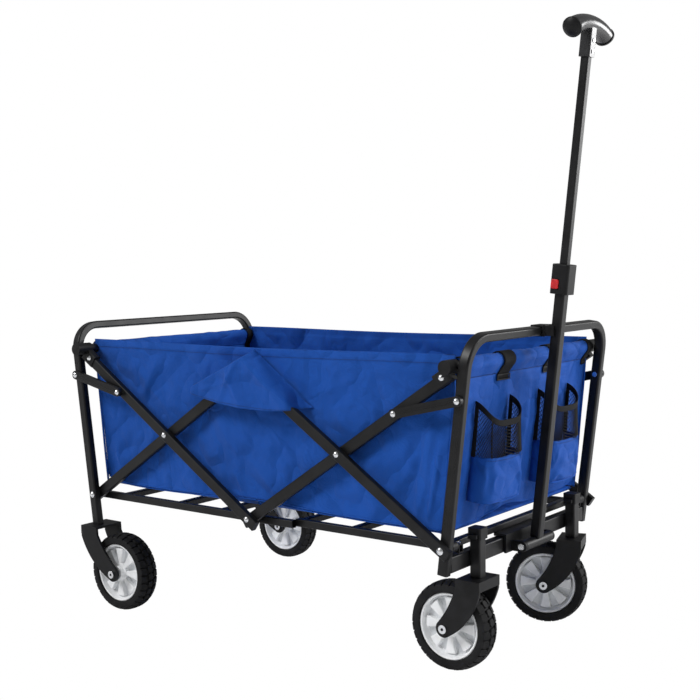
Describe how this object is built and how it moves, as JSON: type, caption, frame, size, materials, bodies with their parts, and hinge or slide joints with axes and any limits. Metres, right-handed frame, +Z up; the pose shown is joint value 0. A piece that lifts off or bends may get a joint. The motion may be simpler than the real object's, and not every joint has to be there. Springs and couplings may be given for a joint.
{
  "type": "wagon with pull handle",
  "caption": "Folding pull-along wagon with a fabric tub on a scissor frame, swivelling front casters, cup pockets and a telescoping tilting pull handle.",
  "frame": {"origin": "on the ground below the middle of the whole object", "axes": "+X forward to the handle end, +Y to the wagon's left, +Z up"},
  "size_m": [1.038, 0.5785, 1.0898],
  "materials": {
    "black_steel": "satin powder coat",
    "black_plastic": "fine grain",
    "grip_plastic": "semi-gloss",
    "red_plastic": "satin",
    "zinc": "bright zinc plated",
    "tyre": "matt rubber",
    "rim": "satin moulded",
    "blue_fabric": "woven polyester",
    "pocket_fabric": "woven polyester and black net"
  },
  "bodies": {
    "rear_frame": {"rear_end_tube": "black_steel", "rear_leg_rivets": "zinc", "rear_spacers": "black_plastic", "rear_axle_bolts": "zinc", "rear_fork_left": "black_plastic", "rear_fork_right": "black_plastic"},
    "rear_rising": {"rear_rising_bars": "black_steel"},
    "rear_falling": {"rear_falling_bars": "black_steel", "rear_rail_sockets": "black_plastic", "rear_bar_rivets": "zinc"},
    "rear_rail": {"rear_rail_tube": "black_steel", "rear_panel": "blue_fabric", "side_panel_left": "blue_fabric", "side_panel_right": "blue_fabric"},
    "front_falling": {"front_falling_bars": "black_steel", "front_rail_sockets": "black_plastic", "front_socket_rivets": "zinc"},
    "front_rising": {"front_rising_bars": "black_steel", "front_bar_rivets": "zinc"},
    "front_rail": {"front_rail_tube": "black_steel", "front_panel": "blue_fabric", "pocket_left": "pocket_fabric", "pocket_right": "pocket_fabric"},
    "rear_link": {"rear_links": "black_steel", "rear_link_rivets": "zinc"},
    "front_link": {"front_links": "black_steel", "front_link_rivets": "zinc"},
    "front_frame": {"front_end_tube": "black_steel", "front_leg_rivets": "zinc", "front_spacers": "black_plastic", "front_beam": "black_steel", "caster_tubes": "black_steel", "caster_tube_caps": "black_plastic", "handle_bracket": "black_plastic", "handle_pivot_bolt": "zinc", "handle_clip": "black_plastic"},
    "base_rear": {"base_rear_frame": "black_steel", "floor_rear": "blue_fabric"},
    "base_front": {"base_front_frame": "black_steel", "floor_front": "blue_fabric"},
    "handle": {"handle_lower_tube": "black_steel", "handle_collar": "black_plastic"},
    "button": {"release_button": "red_plastic"},
    "handle_slider": {"handle_upper_tube": "black_steel", "handle_grip": "grip_plastic", "sleeve_screws": "zinc", "grip_end_caps": "black_plastic"},
    "caster_left": {"caster_fork_left": "black_plastic", "caster_bolt_left": "zinc"},
    "caster_right": {"caster_fork_right": "black_plastic", "caster_bolt_right": "zinc"},
    "front_wheel_left": {"front_tyre_left": "tyre", "front_rim_left": "rim"},
    "front_wheel_right": {"front_tyre_right": "tyre", "front_rim_right": "rim"},
    "rear_wheel_left": {"rear_tyre_left": "tyre", "rear_rim_left": "rim"},
    "rear_wheel_right": {"rear_tyre_right": "tyre", "rear_rim_right": "rim"}
  },
  "joints": [
    {"name": "fold", "type": "hinge", "parent": "rear_frame", "child": "rear_rising", "pos_m": [-0.46601, 0, 0.225], "axis": [0, -1, 0], "range_deg": [0, 46], "deforming": ["side_panel_left", "side_panel_right", "pocket_left", "pocket_right", "floor_rear", "floor_front"]},
    {"name": "rear_cross_pivot", "type": "hinge", "parent": "rear_rising", "child": "rear_falling", "pos_m": [-0.25701, 0, 0.36281], "axis": [0, -1, 0], "range_deg": [-92.05, 0]},
    {"name": "low_pivot", "type": "hinge", "parent": "rear_falling", "child": "front_falling", "pos_m": [-0.04801, 0, 0.225], "axis": [0, -1, 0], "range_deg": [0, 92.05]},
    {"name": "front_cross_pivot", "type": "hinge", "parent": "front_falling", "child": "front_rising", "pos_m": [0.16099, 0, 0.36281], "axis": [0, -1, 0], "range_deg": [-92.05, 0]},
    {"name": "front_leg_pivot", "type": "hinge", "parent": "front_rising", "child": "front_frame", "pos_m": [0.36999, 0, 0.225], "axis": [0, -1, 0], "range_deg": [0, 46.05]},
    {"name": "rear_rail_pivot", "type": "hinge", "parent": "rear_falling", "child": "rear_rail", "pos_m": [-0.47969, 0, 0.52102], "axis": [0, -1, 0], "range_deg": [0, 46.05]},
    {"name": "front_rail_pivot", "type": "hinge", "parent": "front_falling", "child": "front_rail", "pos_m": [0.38368, 0, 0.52102], "axis": [0, -1, 0], "range_deg": [-46.05, 0]},
    {"name": "rear_link_pivot", "type": "hinge", "parent": "rear_frame", "child": "rear_link", "pos_m": [-0.49671, 0, 0.468], "axis": [0, -1, 0], "range_deg": [0, 83.02]},
    {"name": "front_link_pivot", "type": "hinge", "parent": "front_frame", "child": "front_link", "pos_m": [0.40069, 0, 0.468], "axis": [0, -1, 0], "range_deg": [-83.02, 0]},
    {"name": "rear_base_pivot", "type": "hinge", "parent": "rear_frame", "child": "base_rear", "pos_m": [-0.46601, 0, 0.225], "axis": [0, -1, 0], "range_deg": [0, 77.32]},
    {"name": "front_base_pivot", "type": "hinge", "parent": "front_frame", "child": "base_front", "pos_m": [0.36999, 0, 0.225], "axis": [0, -1, 0], "range_deg": [-77.32, 0]},
    {"name": "handle_hinge", "type": "hinge", "parent": "front_frame", "child": "handle", "pos_m": [0.40149, 0, 0.1937], "axis": [0, 1, 0], "range_deg": [0, 85]},
    {"name": "handle_slide", "type": "slide", "parent": "handle", "child": "handle_slider", "axis": [0.1149, 0, 0.9934], "range_m": [-0.3, 0]},
    {"name": "button_press", "type": "slide", "parent": "handle", "child": "button", "axis": [0, 1, 0], "range_m": [0, 0.003], "stiffness_N_per_m": 500, "springref_m": -0.002},
    {"name": "caster_swivel_left", "type": "hinge", "parent": "front_frame", "child": "caster_left", "pos_m": [0.38499, 0.17, 0.2], "axis": [0, 0, 1], "continuous": true},
    {"name": "caster_swivel_right", "type": "hinge", "parent": "front_frame", "child": "caster_right", "pos_m": [0.38499, -0.17, 0.2], "axis": [0, 0, 1], "continuous": true},
    {"name": "front_wheel_spin_left", "type": "hinge", "parent": "caster_left", "child": "front_wheel_left", "pos_m": [0.33934, 0.15517, 0.0765], "axis": [-0.309, 0.9511, 0], "continuous": true},
    {"name": "front_wheel_spin_right", "type": "hinge", "parent": "caster_right", "child": "front_wheel_right", "pos_m": [0.33699, -0.17, 0.0765], "axis": [0, 1, 0], "continuous": true},
    {"name": "rear_wheel_spin_left", "type": "hinge", "parent": "rear_frame", "child": "rear_wheel_left", "pos_m": [-0.39001, 0.252, 0.0765], "axis": [0, 1, 0], "continuous": true},
    {"name": "rear_wheel_spin_right", "type": "hinge", "parent": "rear_frame", "child": "rear_wheel_right", "pos_m": [-0.39001, -0.252, 0.0765], "axis": [0, 1, 0], "continuous": true}
  ],
  "couplings": [
    {"joint": "rear_cross_pivot", "follows": "fold", "ratio": -2},
    {"joint": "low_pivot", "follows": "fold", "ratio": 2},
    {"joint": "front_cross_pivot", "follows": "fold", "ratio": -2},
    {"joint": "front_leg_pivot", "follows": "fold", "ratio": 1},
    {"joint": "rear_rail_pivot", "follows": "fold", "ratio": 1},
    {"joint": "front_rail_pivot", "follows": "fold", "ratio": -1},
    {"joint": "rear_link_pivot", "follows": "fold", "ratio": 1.8036},
    {"joint": "front_link_pivot", "follows": "fold", "ratio": -1.8036},
    {"joint": "rear_base_pivot", "follows": "fold", "ratio": 1.6798},
    {"joint": "front_base_pivot", "follows": "fold", "ratio": -1.6798}
  ]
}
